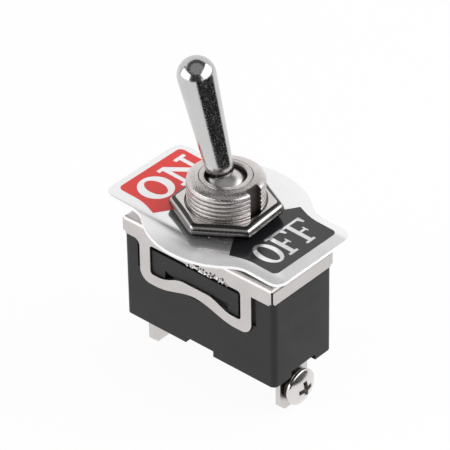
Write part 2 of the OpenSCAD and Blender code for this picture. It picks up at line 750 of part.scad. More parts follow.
housing();
insulating_sheet();
cover_frame();
bushing();
pivot_pin();
lever();
plunger();
plunger_spring();
lock_washer();
backing_nut();
on_off_plate();
front_nut();
terminal_on();
terminal_off();
fixed_contact();
rocker_support();
support_rivet();
rest_pad();
rocker();
rocker_contact();
terminal_screw();
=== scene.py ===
# %% [markdown]
# # A panel toggle switch
# The switch is a folded nickel cover over a black moulded housing, a threaded bushing with
# a ball-jointed bat lever, two hexagon nuts, a loose ON and OFF plate and two tapped
# terminals, one with its screw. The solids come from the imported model. This file dresses
# them: some keep their mesh and only get a finish, and the turned, threaded and printed ones
# are made again here, with the detail that a lathe, a die or a screen print leaves.

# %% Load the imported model
import json
import math
import bmesh
import bpy
from mathutils import Matrix, Vector


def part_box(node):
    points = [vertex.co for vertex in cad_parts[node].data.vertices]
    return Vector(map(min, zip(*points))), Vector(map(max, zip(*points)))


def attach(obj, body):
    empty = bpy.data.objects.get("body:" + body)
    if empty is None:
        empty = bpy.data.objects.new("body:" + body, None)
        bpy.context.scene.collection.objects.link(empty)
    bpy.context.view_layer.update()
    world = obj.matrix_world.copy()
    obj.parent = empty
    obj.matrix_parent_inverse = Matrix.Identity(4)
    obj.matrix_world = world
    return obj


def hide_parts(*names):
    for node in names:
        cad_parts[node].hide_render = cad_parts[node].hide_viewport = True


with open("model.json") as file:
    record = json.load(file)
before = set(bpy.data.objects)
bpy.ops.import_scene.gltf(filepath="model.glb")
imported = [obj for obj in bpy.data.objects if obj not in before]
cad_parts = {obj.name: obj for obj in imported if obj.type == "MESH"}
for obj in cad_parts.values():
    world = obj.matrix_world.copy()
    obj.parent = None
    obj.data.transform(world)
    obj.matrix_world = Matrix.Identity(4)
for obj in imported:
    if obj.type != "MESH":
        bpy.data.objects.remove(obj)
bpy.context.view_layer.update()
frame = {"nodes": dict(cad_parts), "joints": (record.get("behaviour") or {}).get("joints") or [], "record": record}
MM = 0.001

# %% [markdown]
# ## Places
# A place could be typed in, but it would be wrong as soon as a solid changes. So the places
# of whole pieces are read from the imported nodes. The deck is the cover's top face, and the
# bushing stands on the Z axis.

# %% Places
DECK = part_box("cover_frame")[1].z
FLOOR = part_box("terminal_off")[0].z
BUSH_LOW, BUSH_TOP = (corner.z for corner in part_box("bushing"))
PLATE_MIDDLE = sum(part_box("on_off_plate"), Vector()) / 2
PIVOT = Vector(next(j for j in frame["joints"] if j["name"] == "lever_tilt")["pos_m"])
LEAN = math.radians(16)
PLATE_TILT = math.radians(2.1)
THREAD_R = 5.95 * MM
print(f"deck {DECK / MM:.3f} mm, bushing top {BUSH_TOP / MM:.3f} mm, pivot {PIVOT.z / MM:.3f} mm")

# %% [markdown]
# ## Camera
# Small goods are shot with a long lens from far away, which keeps their edges almost
# parallel. An orthographic camera would make them quite parallel, but then the far end looks
# too big, so this is a perspective camera. It looks from a point on a sphere round the place
# where the bushing meets the deck, and a small shift sets the framing.

# %% Camera
def holder(name, data):
    """An object in the scene that holds a mesh, a curve, a lamp or a camera."""
    obj = bpy.data.objects.new(name, data)
    bpy.context.scene.collection.objects.link(obj)
    return obj


AZIMUTH, ELEVATION, ROLL = math.radians(41.808), math.radians(35.948), math.radians(-0.95)
DISTANCE_MM = 522.98
back = Vector((math.sin(AZIMUTH) * math.cos(ELEVATION),
               -math.cos(AZIMUTH) * math.cos(ELEVATION), math.sin(ELEVATION)))
camera = holder("camera", bpy.data.cameras.new("camera"))
camera.matrix_world = (Matrix.Translation(Vector((0, 0, DECK)) + back * DISTANCE_MM * MM)
                       @ back.to_track_quat("Z", "Y").to_matrix().to_4x4()
                       @ Matrix.Rotation(ROLL, 4, "Z"))
camera.data.sensor_width = 36
camera.data.lens = 281.32
camera.data.shift_x, camera.data.shift_y = -0.00403, 0.01432
camera.data.clip_start, camera.data.clip_end = 0.05, 20
bpy.context.scene.camera = camera
bpy.context.scene.view_settings.view_transform = "Standard"
print(f"camera: {camera.data.lens:.0f} mm lens, {DISTANCE_MM:.0f} mm away")

# %% [markdown]
# ## Nodes in few words
# A node tree can be built with one line for each node, each value and each link, but then
# its formula gets lost. These helpers do all three at once: an input takes either a plain
# value or the output of another node, and each helper returns what the next one needs.

# %% Helpers for nodes
def feed(tree, node, sockets):
    """Gives a node's inputs, by name or number, a plain value or another node's output."""
    for key, value in sockets.items():
        if isinstance(value, bpy.types.NodeSocket):
            tree.links.new(value, node.inputs[key])
        else:
            node.inputs[key].default_value = value


def add(tree, kind, sockets=None, **settings):
    """A new node. Its settings come first, because some of them change its inputs."""
    node = tree.nodes.new(kind)
    for key, value in settings.items():
        setattr(node, key, value)
    feed(tree, node, sockets or {})
    return node


def calc(tree, operation, *values):
    """One step of arithmetic on numbers and sockets."""
    return add(tree, "ShaderNodeMath", dict(enumerate(values)), operation=operation).outputs[0]


def remap(tree, value, low, high, to_low=0.0, to_high=1.0, **settings):
    """Stretches the range from low to high to another range, and stops at its ends."""
    return add(tree, "ShaderNodeMapRange", {"Value": value, "From Min": low, "From Max": high,
                                            "To Min": to_low, "To Max": to_high},
               **settings).outputs["Result"]


# A Mix node's sockets go by number, because its kinds share their names
MIX_SOCKETS = {"RGBA": (6, 7, 2), "FLOAT": (2, 3, 0)}


def blend(tree, kind, amount, start, end):
    """Mixes two colours or two numbers."""
    first, second, result = MIX_SOCKETS[kind]
    node = add(tree, "ShaderNodeMix", {0: amount, first: start, second: end}, data_type=kind)
    return node.outputs[result]


def grey(level):
    return (level, level, level, 1)


print("node helpers ready")

# %% [markdown]
# ## Table
# The switch stands on a white table. More light would turn a grey table white, but it would
# bleach the switch as well. So the table glows by itself, for the camera and for the surfaces
# that mirror it, and the small rest of plain paper in the mix takes the switch's shadow.

# %% Table
SQUARE = ((-1, -1), (1, -1), (1, 1), (-1, 1))
TABLE_HALF, PAPER_GREY, GLOW_SHARE = 3, 0.9, 0.93


def new_mesh(name, points, faces):
    """A mesh from points, in metres, and from faces that list their points by number."""
    mesh = bpy.data.meshes.new(name)
    mesh.from_pydata([tuple(p) for p in points], [], faces)
    mesh.validate()
    return mesh


def bare_material(name):
    """A material and its empty node tree."""
    material = bpy.data.materials.new(name)
    material.use_nodes = True
    material.node_tree.nodes.clear()
    return material, material.node_tree


floor_mesh = new_mesh("table", [(x * TABLE_HALF, y * TABLE_HALF, FLOOR) for x, y in SQUARE],
                      [(0, 1, 2, 3)])
floor = holder("table", floor_mesh)
table, tree = bare_material("white_table")
ray = add(tree, "ShaderNodeLightPath").outputs
looked_at = calc(tree, "MAXIMUM", ray["Is Camera Ray"], ray["Is Glossy Ray"])
looked_at = calc(tree, "MAXIMUM", looked_at, ray["Is Transmission Ray"])
paper = add(tree, "ShaderNodeBsdfDiffuse", {"Color": grey(PAPER_GREY)})
glow = add(tree, "ShaderNodeEmission", {"Color": grey(1), "Strength": 1.0})
mix = add(tree, "ShaderNodeMixShader", {0: calc(tree, "MULTIPLY", looked_at, GLOW_SHARE),
                                        1: paper.outputs[0], 2: glow.outputs[0]})
add(tree, "ShaderNodeOutputMaterial", {"Surface": mix.outputs[0]})
floor_mesh.materials.append(table)
print(f"table: at {FLOOR / MM:.3f} mm, glow share {GLOW_SHARE}")

# %% [markdown]
# ## Room
# Polished metal shows the room it stands in. A panorama could be wrapped round the scene,
# but a few plain zones are easier to steer: pale walls, a dark canopy overhead that leans
# towards the camera, and a grey patch inside the canopy. Only mirrored rays see them. Other
# rays get an even light, and the camera sees white.

# %% Room
ROOM_LIGHT, WALL, CANOPY, PATCH = 0.62, 0.94, 0.09, 0.31
CANOPY_AXIS, PATCH_AXIS = (0.087, -0.097, 0.9914), (0.217, -0.243, 0.945)


def background(tree, colour, strength=1.0):
    return add(tree, "ShaderNodeBackground", {"Color": colour, "Strength": strength}).outputs[0]


def facing(tree, axis):
    """How nearly a ray points along an axis: 1 when it does, and 0 when square to it."""
    ray_way = add(tree, "ShaderNodeTexCoord").outputs["Generated"]
    return add(tree, "ShaderNodeVectorMath", {0: ray_way, 1: axis},
               operation="DOT_PRODUCT").outputs["Value"]


world = bpy.data.worlds.new("white_room")
bpy.context.scene.world = world
world.use_nodes = True
tree = world.node_tree
tree.nodes.clear()
canopy = add(tree, "ShaderNodeValToRGB", {0: facing(tree, CANOPY_AXIS)})
for stop, place, level in zip(canopy.color_ramp.elements, (0.59, 0.65), (WALL, CANOPY)):
    stop.position, stop.color = place, grey(level)
mirrored = blend(tree, "RGBA", remap(tree, facing(tree, PATCH_AXIS), 0.79, 0.83),
                 canopy.outputs["Color"], grey(PATCH))
ray = add(tree, "ShaderNodeLightPath").outputs
unseen = add(tree, "ShaderNodeMixShader", {0: ray["Is Glossy Ray"],
                                           1: background(tree, grey(1), ROOM_LIGHT),
                                           2: background(tree, mirrored)})
final = add(tree, "ShaderNodeMixShader", {0: ray["Is Camera Ray"], 1: unseen.outputs[0],
                                          2: background(tree, grey(1))})
add(tree, "ShaderNodeOutputWorld", {"Surface": final.outputs[0]})
print(f"room: light {ROOM_LIGHT}, walls {WALL}, canopy {CANOPY} with a patch of {PATCH}")

# %% [markdown]
# ## Softboxes and cards
# Two wide softboxes stand to the right and to the left. Point lamps would be simpler, but
# their mirror images on chrome are dots, and a softbox gives a broad clean streak. Dark cards
# are as important, because without them chrome looks like grey plastic. They are visible to
# mirrored rays only, so they cast no shadow: a frame round each softbox, a low card at the
# OFF end, and a wide one on the camera's side with a paler strip at each of its edges.

# %% Softboxes
FRAME_W, FRAME_BACK, FRAME_TONE = 0.06, 0.006, 0.02
LAMP_RADIANCE = 2.2


def card(name, points, faces, tone):
    """A sheet that only polished surfaces mirror."""
    obj = holder(name, new_mesh(name, points, faces))
    material, tree = bare_material(name)
    glow = add(tree, "ShaderNodeEmission", {"Color": grey(tone), "Strength": 1.0})
    add(tree, "ShaderNodeOutputMaterial", {"Surface": glow.outputs[0]})
    obj.data.materials.append(material)
    for kind in ("camera", "diffuse", "transmission", "volume_scatter", "shadow"):
        setattr(obj, f"visible_{kind}", False)


def softbox(name, middle, along, width, high):
    """A rectangular lamp that faces the switch, in a dark frame, with its width along a line."""
    data = bpy.data.lights.new(name, "AREA")
    data.shape, data.size, data.size_y = "RECTANGLE", width, high
    data.energy = LAMP_RADIANCE * width * high * math.pi
    lamp = holder(name, data)
    z = Vector(middle).normalized()
    x = (Vector(along) - Vector(along).dot(z) * z).normalized()
    place = Matrix.Translation(middle) @ Matrix((x, z.cross(x), z)).transposed().to_4x4()
    lamp.matrix_world = place
    a, b = width / 2 + FRAME_W, high / 2 + FRAME_W
    card(name + "_frame", [place @ Vector((i * a, k * b, FRAME_BACK)) for i, k in SQUARE],
         [(0, 1, 2, 3)], FRAME_TONE)
    print(f"{name}: {data.energy:.2f} W")


softbox("softbox_right", (0.305, 0.178, 0.187), (-0.55, 0.83, 0.07), 0.70, 0.33)
softbox("softbox_left", (-0.208, -0.335, 0.11), (1, -0.62, 0), 0.50, 0.27)

# %% Curved cards
STEP_DEG = 4


def curved_card(name, radius, from_deg, to_deg, low, high, tone):
    """An upright card that is bent round the Z axis."""
    turns = [math.radians(a) for a in range(from_deg, to_deg + 1, STEP_DEG)]
    rim = [(radius * math.cos(a), radius * math.sin(a)) for a in turns]
    card(name, [(x, y, z) for x, y in rim for z in (low, high)],
         [(2 * i, 2 * i + 2, 2 * i + 3, 2 * i + 1) for i in range(len(rim) - 1)], tone)
    print(f"{name}: {from_deg} to {to_deg} degrees, tone {tone}")


curved_card("low_flag", 0.095, -54, 56, FLOOR, 0.013, 0.02)
for name, from_deg, to_deg, tone in (("camera_flag", -82, -26, 0.055), ("left_edge", -86, -82, 0.35),
                                     ("right_edge", -26, -22, 0.22)):
    curved_card(name, 0.40, from_deg, to_deg, -0.05, 0.28, tone)

# %% [markdown]
# ## Grain
# No plated or moulded skin is quite even. A scanned texture could show that, but it would
# need an unwrapped mesh for each piece. Noise on Object coordinates needs none. It is one
# node group, which every finish uses with its own values: fine noise gives the relief and
# small dull pits, and coarse noise varies the roughness and the tone.

# %% Grain group
FLOAT, COLOUR = "NodeSocketFloat", "NodeSocketColor"
PER_METRE = 1000


def group(kind, name, inputs, outputs):
    """A node tree with named inputs and outputs. An input whose value is None has no default."""
    tree = bpy.data.node_groups.new(name, kind)
    for socket, socket_kind, value in inputs:
        item = tree.interface.new_socket(socket, in_out="INPUT", socket_type=socket_kind)
        if value is not None:
            item.default_value = value
    for socket, socket_kind in outputs:
        tree.interface.new_socket(socket, in_out="OUTPUT", socket_type=socket_kind)
    return tree, tree.nodes.new("NodeGroupInput").outputs, tree.nodes.new("NodeGroupOutput")


GRAIN, given, end = group(
    "ShaderNodeTree", "grain",
    [("Size mm", FLOAT, 0.3), ("Low", FLOAT, 0.0), ("High", FLOAT, 1.0),
     ("Shade", COLOUR, grey(0.5)), ("Spread", FLOAT, 0.1), ("Pits", FLOAT, 0.0)],
    [("Height", FLOAT), ("Roughness", FLOAT), ("Color", COLOUR)])
where = add(GRAIN, "ShaderNodeTexCoord").outputs["Object"]
fine = add(GRAIN, "ShaderNodeTexNoise", {
    "Vector": where, "Scale": calc(GRAIN, "DIVIDE", PER_METRE, given["Size mm"]),
    "Detail": 4.0, "Roughness": 0.6}).outputs["Fac"]
coarse = add(GRAIN, "ShaderNodeTexNoise", {
    "Vector": where, "Scale": 260.0, "Detail": 3.0, "Roughness": 0.55}).outputs["Fac"]
even = remap(GRAIN, coarse, 0.3, 0.7, given["Low"], given["High"])
pitted = calc(GRAIN, "MULTIPLY_ADD", remap(GRAIN, fine, 0.56, 0.68), given["Pits"], even)
tone = remap(GRAIN, coarse, 0.3, 0.7, calc(GRAIN, "SUBTRACT", 1.0, given["Spread"]))
tint = add(GRAIN, "ShaderNodeVectorMath", {0: given["Shade"], "Scale": tone}, operation="SCALE")
feed(GRAIN, end, {"Height": fine, "Roughness": pitted, "Color": tint.outputs[0]})
print("grain:", len(GRAIN.nodes), "nodes")

# %% [markdown]
# ## Turned rings and painted light
# A lathe leaves fine rings round its axis. They could be cut into the mesh, but they are far
# finer than its faces, so they are noise on the distance from the Z axis. The second group
# paints light and shade: shade in gaps, recesses and thread roots and under a screw head,
# reflections on the nuts and a sheen on the lever's ball. It could be a painted texture, but
# here each face of a piece holds one number, and the group mixes a second colour and
# roughness by it.

# %% Ring and painted light groups
def from_axis(tree):
    """The distance from the Z axis, on Object coordinates."""
    where = add(tree, "ShaderNodeTexCoord").outputs["Object"]
    flat = add(tree, "ShaderNodeVectorMath", {0: where, 1: (1, 1, 0)}, operation="MULTIPLY")
    return add(tree, "ShaderNodeVectorMath", {0: flat.outputs["Vector"]},
               operation="LENGTH").outputs["Value"]


RINGS, given, end = group("ShaderNodeTree", "turned_rings", [("Pitch mm", FLOAT, 0.2)],
                          [("Height", FLOAT)])
per_metre = calc(RINGS, "DIVIDE", PER_METRE, given["Pitch mm"])
wobble = add(RINGS, "ShaderNodeTexNoise", {
    "W": calc(RINGS, "MULTIPLY", from_axis(RINGS), per_metre), "Scale": 1.0, "Detail": 3.0},
    noise_dimensions="1D")
feed(RINGS, end, {"Height": wobble.outputs["Fac"]})

# A group that paints shade, reflections and sheen, by a number on each face
PAINTED_LIGHT_MIX, given, end = group(
    "ShaderNodeTree", "painted_light",
    [("Amount", FLOAT, 0.0), ("Color", COLOUR, grey(0.5)), ("Roughness", FLOAT, 0.5),
     ("Painted light color", COLOUR, grey(0.0)), ("Painted light roughness", FLOAT, 0.9)],
    [("Color", COLOUR), ("Roughness", FLOAT)])
feed(PAINTED_LIGHT_MIX, end, {
    "Color": blend(PAINTED_LIGHT_MIX, "RGBA", given["Amount"], given["Color"], given["Painted light color"]),
    "Roughness": blend(PAINTED_LIGHT_MIX, "FLOAT", given["Amount"], given["Roughness"],
                       given["Painted light roughness"])})
print("turned rings:", len(RINGS.nodes), "nodes, soot:", len(PAINTED_LIGHT_MIX.nodes), "nodes")

# %% [markdown]
# ## Finishes
# The switch has metals, mouldings and inks, and each could have a material built by hand.
# They differ only in numbers, though, so one function makes them all: from the colour, how
# metallic it is, the range of its roughness, the size and depth of its grain, and how round
# its edges look. The plate's aluminium is half metallic, a guess for its milky surface.

# %% One function for all finishes
RELIEF_DEPTH = 0.1 * MM
COAT_ROUGHNESS = 0.08


def finish(name, colour, metallic=1.0, rough=(0.2, 0.3), grain_mm=0.3, bump=0.05, spread=0.08,
           edge_mm=0.0, rings=None, coat=0.0, specular=0.5, pits=0.0, painted_light=None):
    """A material. Rings are a pitch in mm and a strength; the painted light is a colour and a roughness, for
    painted shade, reflections or sheen.
    """
    material = bpy.data.materials.new(name)
    material.use_nodes = True
    tree = material.node_tree
    grain = add(tree, "ShaderNodeGroup", {
        "Size mm": grain_mm, "Low": rough[0], "High": rough[1], "Shade": (*colour, 1),
        "Spread": spread, "Pits": pits}, node_tree=GRAIN).outputs
    skin = grain
    # The second colour paints shade, reflections or sheen on the faces that carry a number
    if painted_light:
        marks = add(tree, "ShaderNodeAttribute", attribute_name="painted_light").outputs["Fac"]
        skin = add(tree, "ShaderNodeGroup", {
            "Amount": marks, "Color": grain["Color"], "Roughness": grain["Roughness"],
            "Painted light color": (*painted_light[0], 1), "Painted light roughness": painted_light[1]}, node_tree=PAINTED_LIGHT_MIX).outputs
    relief = add(tree, "ShaderNodeBump", {"Strength": bump, "Distance": RELIEF_DEPTH,
                                          "Height": grain["Height"]})
    if edge_mm:
        soft = add(tree, "ShaderNodeBevel", {"Radius": edge_mm * MM}, samples=6)
        feed(tree, relief, {"Normal": soft.outputs["Normal"]})
    if rings:
        turned = add(tree, "ShaderNodeGroup", {"Pitch mm": rings[0]}, node_tree=RINGS)
        relief = add(tree, "ShaderNodeBump", {
            "Strength": rings[1], "Distance": RELIEF_DEPTH, "Height": turned.outputs["Height"],
            "Normal": relief.outputs["Normal"]})
    feed(tree, tree.nodes["Principled BSDF"], {
        "Base Color": skin["Color"], "Roughness": skin["Roughness"], "Metallic": metallic,
        "Normal": relief.outputs["Normal"], "Specular IOR Level": specular,
        "Coat Weight": coat, "Coat Roughness": COAT_ROUGHNESS})
    return material


# %% The finishes, by material slot, with torn nickel for the burrs
# A finish with a second colour uses it for painted shade, painted reflections or a painted sheen
FINISH = {
    # The phenolic's second colour paints the housing's gap walls nearly black as shade
    "phenolic": finish(
        "satin_phenolic", (0.011, 0.011, 0.012), metallic=0.0, rough=(0.42, 0.52), grain_mm=0.12,
        bump=0.12, spread=0.15, edge_mm=0.12, specular=0.35, painted_light=((0.001, 0.001, 0.001), 0.9)),
    "fibre": finish(
        "fibre_sheet", (0.35, 0.22, 0.13), metallic=0.0, rough=(0.7, 0.85), grain_mm=0.1,
        bump=0.3, spread=0.3),
    "cover_nickel": finish(
        "cover_nickel", (0.63, 0.60, 0.59), rough=(0.24, 0.36), grain_mm=0.25, bump=0.06,
        spread=0.10, edge_mm=0.10),
    "torn_nickel": finish(
        "torn_nickel", (0.97, 0.96, 0.95), rough=(0.25, 0.35), grain_mm=0.1),
    # Its brown second colour is painted shade in the mouth, the keyway and the thread's roots
    "bushing_nickel": finish(
        "turned_nickel", (0.78, 0.735, 0.72), rough=(0.08, 0.17), grain_mm=0.16, bump=0.40,
        spread=0.25, rings=(0.14, 0.12), pits=0.35, painted_light=((0.040, 0.026, 0.024), 0.6)),
    "pin_steel": finish("ground_pin", (0.6, 0.6, 0.6), grain_mm=0.2, bump=0.03),
    # Its pale second colour paints a sheen on the lever's ball
    "lever_chrome": finish(
        "bright_chrome", (0.60, 0.592, 0.59), rough=(0.05, 0.11), grain_mm=0.13, bump=0.11,
        spread=0.06, pits=0.42, painted_light=((0.70, 0.67, 0.66), 0.34)),
    "nylon": finish("nylon", (0.85, 0.84, 0.78), metallic=0.0, rough=(0.35, 0.5), grain_mm=0.2),
    "spring_steel": finish("spring_wire", (0.5, 0.5, 0.5), rough=(0.25, 0.35), grain_mm=0.1),
    "washer_zinc": finish(
        "zinc_washer", (0.6, 0.59, 0.57), rough=(0.35, 0.5), grain_mm=0.15, bump=0.1,
        edge_mm=0.06),
    # Its near-black second colour paints reflections on the bevels and sides and a shadow in the undercut
    "nut_nickel": finish(
        "nut_nickel", (0.76, 0.725, 0.705), rough=(0.10, 0.18), grain_mm=0.15, bump=0.14,
        spread=0.12, edge_mm=0.05, pits=0.25, painted_light=((0.012, 0.012, 0.013), 0.25)),
    "plate_aluminium": finish(
        "plate_aluminium", (0.93, 0.93, 0.935), metallic=0.50, rough=(0.13, 0.19), grain_mm=0.2,
        bump=0.03, spread=0.03),
    "terminal_nickel": finish(
        "terminal_nickel", (0.66, 0.635, 0.62), rough=(0.28, 0.42), grain_mm=0.2, bump=0.08,
        spread=0.12, edge_mm=0.08),
    "silver": finish("contact_silver", (0.85, 0.84, 0.82), rough=(0.25, 0.35), grain_mm=0.15),
    "support_brass": finish(
        "stamped_brass", (0.72, 0.53, 0.27), rough=(0.25, 0.4), grain_mm=0.2, bump=0.06),
    "pad_rubber": finish(
        "pad_rubber", (0.03, 0.028, 0.028), metallic=0.0, rough=(0.7, 0.85), grain_mm=0.15,
        bump=0.2),
    "rocker_copper": finish(
        "rocker_copper", (0.72, 0.42, 0.26), rough=(0.25, 0.4), grain_mm=0.2, bump=0.06),
    # Its brown second colour is painted shade under the head, on the shank and in the recess
    "screw_nickel": finish(
        "screw_nickel", (0.76, 0.735, 0.725), rough=(0.15, 0.26), grain_mm=0.2, spread=0.1,
        painted_light=((0.045, 0.032, 0.028), 0.35)),
}
RED_INK = finish("red_ink", (0.78, 0.036, 0.030), metallic=0.0, rough=(0.28, 0.36), grain_mm=0.1,
                 bump=0.06, spread=0.05, coat=0.15)
DARK_INK = finish("dark_ink", (0.014, 0.014, 0.016), metallic=0.0, rough=(0.16, 0.22),
                  grain_mm=0.1, bump=0.06, spread=0.1, coat=0.3)
print("finishes:", len(FINISH) + 2)

# %% [markdown]
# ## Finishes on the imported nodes
# Pieces such as the cover, the terminals and the contact set are plain folded, stamped or
# moulded shapes. They could be made again too, but their solids have detail enough, so they
# keep their mesh and get the finish of the slot that the record names.

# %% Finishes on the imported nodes
slot_of = {s["node"]: s["material_slot"] for s in frame["record"]["subparts"]}
for name, node in frame["nodes"].items():
    node.data.materials.clear()
    node.data.materials.append(FINISH[slot_of[name]])
print("dressed nodes:", len(slot_of))

# %% [markdown]
# ## From a mesh to a piece
# A finished piece is flat where its faces meet at a sharp angle and smooth elsewhere. A
# modifier could do that, but it would have to stay live, so the edges are marked in the mesh.
# Cuts are made with booleans between closed meshes, and their result is made a plain mesh.

# %% Helpers for pieces
SAME_PLACE = 1e-7


def shade(mesh, sharp_deg=35):
    """Smooth shading that stays crisp along every edge sharper than the angle."""
    bm = bmesh.new()
    bm.from_mesh(mesh)
    bmesh.ops.remove_doubles(bm, verts=bm.verts, dist=SAME_PLACE)
    bmesh.ops.recalc_face_normals(bm, faces=bm.faces)
    limit = math.radians(sharp_deg)
    for face in bm.faces:
        face.smooth = True
    for edge in bm.edges:
        edge.smooth = len(edge.link_faces) == 2 and edge.calc_face_angle(0) < limit
    bm.to_mesh(mesh)
    bm.free()


def piece(name, mesh, material, slot, body, *nodes, sharp_deg=35):
    """Puts a finished mesh in the scene as one piece that rides on a body."""
    shade(mesh, sharp_deg)
    mesh.materials.clear()
    mesh.materials.append(material)
    obj = holder(name, mesh)
    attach(obj, body)
    if nodes:
        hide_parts(*nodes)
    print(f"{name}: {len(mesh.polygons)} faces")
    return obj


def baked(obj):
    """The evaluated mesh of an object with modifiers. The object itself is removed."""
    graph = bpy.context.evaluated_depsgraph_get()
    mesh = bpy.data.meshes.new_from_object(obj.evaluated_get(graph))
    bpy.data.objects.remove(obj)
    return mesh


def cut(mesh, *cutters):
    """The mesh with other meshes taken away from it."""
    obj = holder("blank", mesh)
    tools = [holder("cutter", c) for c in cutters]
    for tool in tools:
        modifier = obj.modifiers.new("cut", "BOOLEAN")
        modifier.operation, modifier.solver, modifier.object = "DIFFERENCE", "EXACT", tool
    result = baked(obj)
    for tool in tools:
        bpy.data.objects.remove(tool)
    return result


def by_face(obj, name, value):
    """Writes one number on every face, from its middle in millimetres and its normal."""
    layer = obj.data.attributes.new(name, "FLOAT", "FACE")
    numbers = [float(value(f.center / MM, f.normal)) for f in obj.data.polygons]
    layer.data.foreach_set("value", numbers)
    print(f"{obj.name}: {sum(n > 0 for n in numbers)} of {len(numbers)} faces marked")


# %% [markdown]
# ## Housing
# The moulded housing has a boss that fills the cover's window, with a fine gap round it. The
# gap could be a painted line, but a real one has depth and its own shadow, so it is milled
# into a merged copy of the mesh: along the window's upper edge, down its right edge, under
# the boss's raised middle, and beside the stirrup's right leg. Its walls are painted nearly
# black as well, as painted shade.

# %% Gap round the boss
GAP_FRONT, GAP_FLOOR = -7.5, -5.75
# Outlines on the long face, in mm: X, and height over the deck
GAPS = ([(-9.25, -3.0), (8.55, -3.0), (8.55, -4.02), (-9.25, -4.02)],
        [(7.95, -3.0), (8.56, -3.0), (8.5, -8.4), (8.05, -8.7), (7.95, -8.6)],
        [(-6.64, -7.42), (4.9, -7.85), (4.9, -9.2), (-6.64, -9.2)],
        [(9.2, -3.0), (10.12, -3.0), (10.12, -7.95), (9.8, -8.45), (9.2, -8.45)])


def gap_cutter(outline, turn):
    """A prism through the housing's long face, turned round the Z axis to either side."""
    count = len(outline)
    points = [(x * MM, y * MM, DECK + z * MM) for y in (GAP_FRONT, GAP_FLOOR) for x, z in outline]
    ends = [tuple(range(count)), tuple(range(2 * count - 1, count - 1, -1))]
    sides = [(i, i + count, (i + 1) % count + count, (i + 1) % count) for i in range(count)]
    mesh = new_mesh("gap", points, ends + sides)
    shade(mesh)
    mesh.transform(Matrix.Rotation(turn, 4, "Z"))
    return mesh


housing_mesh = frame["nodes"]["housing"].data.copy()
shade(housing_mesh)
cutters = [gap_cutter(outline, turn) for turn in (0, math.pi) for outline in GAPS]
housing = piece("housing_moulded", cut(housing_mesh, *cutters), FINISH["phenolic"], "phenolic",
                "base", "housing")

# %% The gap's walls, painted dark as shade
# How far the long face lies from the middle, in mm
FACE_Y = 6.6


def gap_painted_shade(middle, normal):
    """Painted shade: the gap's walls are coloured nearly black, where no light reaches."""
    side = -1 if middle.y > 0 else 1
    x, z, deep = middle.x * side, middle.z - DECK / MM, FACE_Y - abs(middle.y)
    if not (0.02 < deep < 0.9 and -9.3 < x < 10.13):
        return 0.0
    top, right = z > -4.04, x > 7.93 and z > -8.8
    under = -6.66 < x < 4.92 and -9.3 < z < -7.3 and deep > 0.4
    return 1.0 if top or right or under else 0.0


by_face(housing, "painted_light", gap_painted_shade)

# %% [markdown]
# ## Burrs
# Where the punch tore the cover's window, small burrs of nickel and nicks of the black
# moulding stand along its upper edge. They could be modelled one by one, but no two are
# alike, so a Geometry Nodes tree scatters short flakes over a strip there, each turned and
# stretched at random from a fixed seed.

# %% Burr tree
GEOMETRY, WHOLE, MATERIAL = "NodeSocketGeometry", "NodeSocketInt", "NodeSocketMaterial"


def end_tree(tree, geometry, given, end):
    """Every Geometry Nodes tree here ends in real geometry with its material."""
    real = add(tree, "GeometryNodeRealizeInstances", {0: geometry})
    paint = add(tree, "GeometryNodeSetMaterial", {"Geometry": real.outputs[0],
                                                  "Material": given["Material"]})
    feed(tree, end, {"Geometry": paint.outputs[0]})
    print(f"{tree.name}: {len(tree.nodes)} nodes")


BURRS, given, end = group(
    "GeometryNodeTree", "scatter_burrs",
    [("Geometry", GEOMETRY, None), ("Density", FLOAT, 4e6), ("Length", FLOAT, 0.2 * MM),
     ("Height", FLOAT, 0.05 * MM), ("Seed", WHOLE, 3), ("Material", MATERIAL, None)],
    [("Geometry", GEOMETRY)])
spots = add(BURRS, "GeometryNodeDistributePointsOnFaces", {
    "Mesh": given["Geometry"], "Density": given["Density"], "Seed": given["Seed"]})
flake = add(BURRS, "GeometryNodeMeshIcoSphere", {"Radius": 1.0, "Subdivisions": 1})
turn, stretch = (
    add(BURRS, "FunctionNodeRandomValue", {"Min": low, "Max": high, "Seed": given["Seed"]},
        data_type="FLOAT_VECTOR").outputs[0]
    for low, high in (((-0.3, -0.7, -0.3), (0.3, 1.1, 0.3)), ((0.25, 0.6, 0.15), (1, 1.4, 0.55))))
size = add(BURRS, "ShaderNodeCombineXYZ", {"X": given["Length"], "Y": given["Height"],
                                           "Z": given["Length"]})
size = add(BURRS, "ShaderNodeVectorMath", {0: size.outputs[0], 1: stretch}, operation="MULTIPLY")
flakes = add(BURRS, "GeometryNodeInstanceOnPoints", {
    "Points": spots.outputs["Points"], "Instance": flake.outputs["Mesh"], "Rotation": turn,
    "Scale": size.outputs[0]})
end_tree(BURRS, flakes.outputs[0], given, end)

# %% Burrs and nicks
def run_tree(tree, blank, material, **sizes):
    """Runs a tree on a blank mesh, with its inputs set by their identifiers."""
    obj = holder("blank", blank)
    modifier = obj.modifiers.new("tree", "NODES")
    modifier.node_group = tree
    key = {s.name: s.identifier for s in tree.interface.items_tree if s.in_out == "INPUT"}
    for name, value in sizes.items():
        modifier[key[name]] = value
    modifier[key["Material"]] = material
    return baked(obj)


